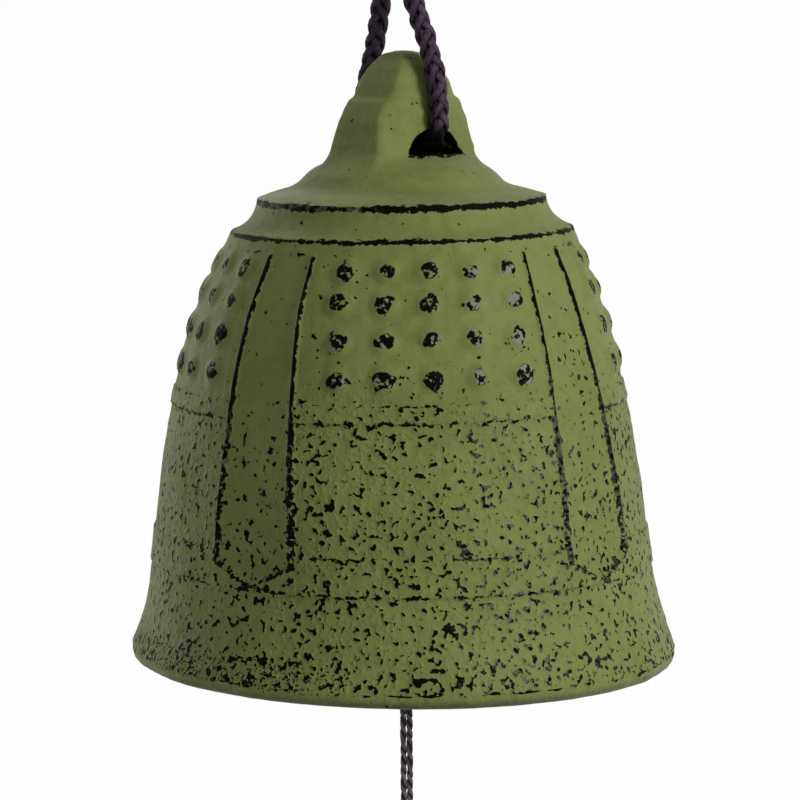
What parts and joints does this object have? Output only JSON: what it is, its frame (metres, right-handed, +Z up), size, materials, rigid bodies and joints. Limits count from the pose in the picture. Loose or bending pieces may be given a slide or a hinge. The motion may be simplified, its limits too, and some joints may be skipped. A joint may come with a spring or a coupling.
{
  "type": "furin wind bell",
  "caption": "Cast-iron furin wind bell in the form of a temple bell, painted green, hung on a braided cord, with a clapper inside and a paper wind strip on a twisted thread.",
  "frame": {"origin": "inside of the top of the hanging loop, where a hook carries the bell; the bell's axis is the Z axis", "axes": "+Z up, -Y to the front, +X to the right seen from the front; the hole in the crown lug runs level at 45 degrees, to the right and the front"},
  "size_m": [0.075, 0.075, 0.2834],
  "materials": {
    "painted_iron": "matt green paint over a black undercoat, rubbed through on the raised edges and grains",
    "eye_wire": "dull drawn wire",
    "clapper_iron": "black lacquer on rough iron",
    "braided_cord": "round braid in dark plum",
    "twisted_thread": "two twisted strands in grey-brown",
    "strip_paper": "plain fibrous card"
  },
  "bodies": {
    "hanger": {"hanging_cord": "braided_cord", "hanging_knot": "braided_cord", "hanging_loop": "braided_cord", "cord_ends": "braided_cord"},
    "bell": {"bell": "painted_iron", "clapper_eye": "eye_wire", "thread_loop": "twisted_thread"},
    "thread_head": {"thread_knot": "twisted_thread"},
    "clapper_line": {"clapper_thread": "twisted_thread", "clapper": "clapper_iron", "stop_knot": "twisted_thread"},
    "wind_line": {"wind_thread": "twisted_thread"},
    "strip_head": {"strip_knot": "twisted_thread"},
    "strip": {"strip_loop": "twisted_thread", "paper_strip": "strip_paper"}
  },
  "joints": [
    {"name": "bell_swing", "type": "hinge", "parent": "hanger", "child": "bell", "pos_m": [0, 0, -0.0648], "axis": [0.7071, -0.7071, 0], "range_deg": [-15, 15]},
    {"name": "thread_twist", "type": "hinge", "parent": "bell", "child": "thread_head", "pos_m": [0, 0, -0.0813], "axis": [0, 0, 1], "continuous": true},
    {"name": "clapper_swing", "type": "hinge", "parent": "thread_head", "child": "clapper_line", "pos_m": [0, 0, -0.08405], "axis": [0, 1, 0], "range_deg": [-28, 28]},
    {"name": "wind_swing", "type": "hinge", "parent": "clapper_line", "child": "wind_line", "pos_m": [0, 0, -0.13095], "axis": [0, 1, 0], "range_deg": [-14, 14]},
    {"name": "strip_twist", "type": "hinge", "parent": "wind_line", "child": "strip_head", "pos_m": [0, 0, -0.16], "axis": [0, 0, 1], "continuous": true},
    {"name": "strip_swing", "type": "hinge", "parent": "strip_head", "child": "strip", "pos_m": [0, 0, -0.16295], "axis": [1, 0, 0], "range_deg": [-35, 35]}
  ]
}
